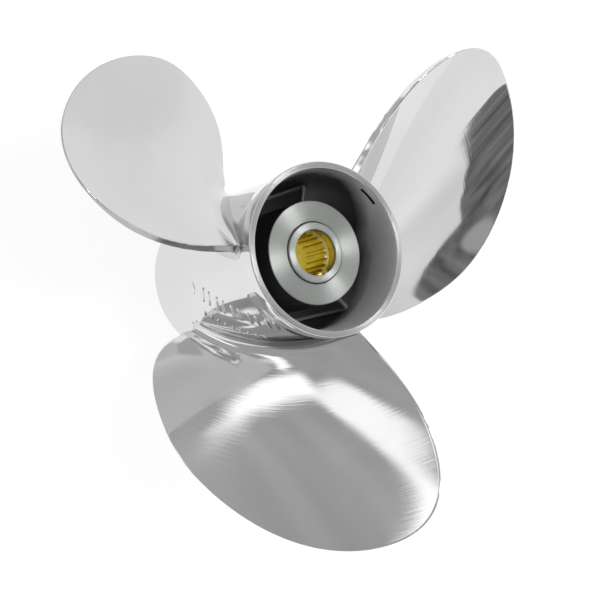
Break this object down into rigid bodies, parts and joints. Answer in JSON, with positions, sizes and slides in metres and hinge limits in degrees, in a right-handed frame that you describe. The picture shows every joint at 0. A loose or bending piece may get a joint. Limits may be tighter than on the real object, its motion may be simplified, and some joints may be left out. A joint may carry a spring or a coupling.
{
  "type": "boat propeller",
  "caption": "Polished stainless outboard propeller with swept, cupped blades on a flared through-hub exhaust barrel, and a rubber-sprung brass splined sleeve.",
  "frame": {"origin": "centre of the barrel's forward end, on the shaft axis", "axes": "+Z along the shaft axis, aft, towards the flared rim; +X along the reference line of blade_1; the blades climb aft with the angle about +Z"},
  "size_m": [0.2824, 0.3021, 0.1366],
  "materials": {
    "polished_steel": "mirror-polished stainless steel",
    "machined_steel": "turned stainless steel, fine concentric tool marks",
    "cast_steel": "dark as-cast skin",
    "brass": "broached and turned brass",
    "rubber": "moulded black rubber"
  },
  "bodies": {
    "wheel": {"barrel": "polished_steel", "blade_1": "polished_steel", "blade_2": "polished_steel", "blade_3": "polished_steel", "inner_hub": "machined_steel", "rib_1": "cast_steel", "rib_2": "cast_steel", "rib_3": "cast_steel", "rubber_bush": "rubber"},
    "shaft_sleeve": {"splined_sleeve": "brass", "end_ring": "machined_steel"}
  },
  "joints": [
    {"name": "hub_windup", "type": "hinge", "parent": "wheel", "child": "shaft_sleeve", "pos_m": [0, 0, 0.06], "axis": [0, 0, 1], "range_deg": [-10, 10], "stiffness_Nm_per_rad": 1200}
  ]
}
